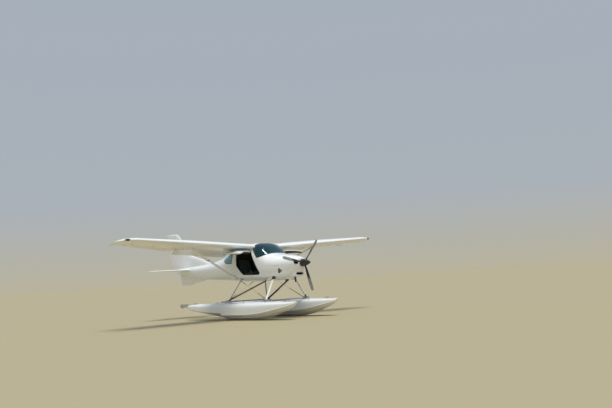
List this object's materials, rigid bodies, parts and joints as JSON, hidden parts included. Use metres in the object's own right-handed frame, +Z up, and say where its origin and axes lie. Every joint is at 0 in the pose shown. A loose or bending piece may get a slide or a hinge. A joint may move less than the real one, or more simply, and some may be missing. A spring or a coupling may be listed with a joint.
{
  "type": "light two-seat floatplane",
  "caption": "High-wing strut-braced light aircraft on twin floats, with gull-wing cabin doors swung up, drooped flaps and a tractor propeller.",
  "frame": {"origin": "on the ground between the float keels, at the middle of the overall length", "axes": "+X towards the pilot's left, -Y towards the nose, +Z up"},
  "size_m": [9.3, 6.72, 2.652],
  "materials": {
    "white_gelcoat": "polished white gelcoat over glass fibre",
    "tinted_glazing": "blue-green tinted acrylic",
    "lamp_lens": "clear lens in a black base",
    "black_paint": "satin black paint on tube",
    "blade_black": "satin black composite",
    "spinner_bronze": "dark bronze satin",
    "engine_metal": "dark cast metal",
    "bare_alloy": "brushed, slightly dull",
    "black_rubber": "soft moulded rubber",
    "seat_cloth": "dark woven cloth",
    "panel_black": "matt black"
  },
  "bodies": {
    "airframe": {"cabin_shell": "white_gelcoat", "tail_cone": "white_gelcoat", "cowl_upper": "white_gelcoat", "cowl_lower": "white_gelcoat", "wing_left": "white_gelcoat", "wing_right": "white_gelcoat", "wing_strut_left": "white_gelcoat", "wing_strut_right": "white_gelcoat", "fin": "white_gelcoat", "ventral_fin": "white_gelcoat", "tailplane_left": "white_gelcoat", "tailplane_right": "white_gelcoat", "float_left": "white_gelcoat", "float_right": "white_gelcoat", "front_strut_left": "white_gelcoat", "front_strut_right": "white_gelcoat", "windshield": "tinted_glazing", "rear_window_left": "tinted_glazing", "rear_window_right": "tinted_glazing", "wing_tip_light_left": "lamp_lens", "wing_tip_light_right": "lamp_lens", "diagonal_strut_left": "black_paint", "diagonal_strut_right": "black_paint", "rudder_bracket_left": "black_paint", "rudder_bracket_right": "black_paint", "engine_block": "engine_metal", "spreader_bar_front": "bare_alloy", "spreader_bar_rear": "bare_alloy", "rear_strut_left": "bare_alloy", "rear_strut_right": "bare_alloy", "bow_bumper_left": "black_rubber", "bow_bumper_right": "black_rubber", "seats": "seat_cloth", "instrument_panel": "panel_black", "control_sticks": "panel_black"},
    "propeller": {"spinner": "spinner_bronze", "prop_hub": "engine_metal", "prop_blade_1": "blade_black", "prop_blade_2": "blade_black", "prop_blade_3": "blade_black"},
    "door_left": {"door_frame_left": "white_gelcoat", "door_glass_left": "tinted_glazing"},
    "door_right": {"door_frame_right": "white_gelcoat", "door_glass_right": "tinted_glazing"},
    "flap_left": {"flap_left": "white_gelcoat"},
    "flap_right": {"flap_right": "white_gelcoat"},
    "aileron_left": {"aileron_left": "white_gelcoat"},
    "aileron_right": {"aileron_right": "white_gelcoat"},
    "elevator": {"elevator": "white_gelcoat"},
    "rudder": {"rudder": "white_gelcoat"},
    "water_rudder_left": {"water_rudder_left": "bare_alloy"},
    "water_rudder_right": {"water_rudder_right": "bare_alloy"}
  },
  "joints": [
    {"name": "propeller_spin", "type": "hinge", "parent": "airframe", "child": "propeller", "pos_m": [0, -2.944, 1.465], "axis": [0, 1, 0], "continuous": true},
    {"name": "door_left_swing", "type": "hinge", "parent": "airframe", "child": "door_left", "pos_m": [0.5366, -1.1, 1.86], "axis": [0, 1, 0], "range_deg": [0, 88]},
    {"name": "door_right_swing", "type": "hinge", "parent": "airframe", "child": "door_right", "pos_m": [-0.5366, -1.1, 1.86], "axis": [0, 1, 0], "range_deg": [-88, 0]},
    {"name": "flap_left_droop", "type": "hinge", "parent": "airframe", "child": "flap_left", "pos_m": [0.6, -0.533, 1.93913], "axis": [0.9981, -0.0205, 0.0582], "range_deg": [-17, 23]},
    {"name": "flap_right_droop", "type": "hinge", "parent": "airframe", "child": "flap_right", "pos_m": [-0.6, -0.533, 1.93913], "axis": [0.9981, 0.0205, -0.0582], "range_deg": [-17, 23]},
    {"name": "aileron_left_tilt", "type": "hinge", "parent": "airframe", "child": "aileron_left", "pos_m": [2.466, -0.56112, 2.0463], "axis": [0.987, -0.1459, 0.067], "range_deg": [-18, 18]},
    {"name": "aileron_right_tilt", "type": "hinge", "parent": "airframe", "child": "aileron_right", "pos_m": [-2.466, -0.56112, 2.0463], "axis": [0.987, 0.1459, -0.067], "range_deg": [-18, 18]},
    {"name": "elevator_tilt", "type": "hinge", "parent": "airframe", "child": "elevator", "pos_m": [0, 2.425, 1.49], "axis": [1, 0, 0], "range_deg": [-22, 25]},
    {"name": "rudder_turn", "type": "hinge", "parent": "airframe", "child": "rudder", "pos_m": [0, 2.698, 1.404], "axis": [0, 0.3204, 0.9473], "range_deg": [-25, 25]},
    {"name": "water_rudder_left_turn", "type": "hinge", "parent": "airframe", "child": "water_rudder_left", "pos_m": [0.78, 1.282, 0.42], "axis": [0, 0, 1], "range_deg": [-30, 30]},
    {"name": "water_rudder_right_turn", "type": "hinge", "parent": "airframe", "child": "water_rudder_right", "pos_m": [-0.78, 1.282, 0.42], "axis": [0, 0, 1], "range_deg": [-30, 30]}
  ],
  "couplings": [
    {"joint": "flap_right_droop", "follows": "flap_left_droop", "ratio": 1},
    {"joint": "aileron_right_tilt", "follows": "aileron_left_tilt", "ratio": -1},
    {"joint": "water_rudder_right_turn", "follows": "water_rudder_left_turn", "ratio": 1}
  ]
}
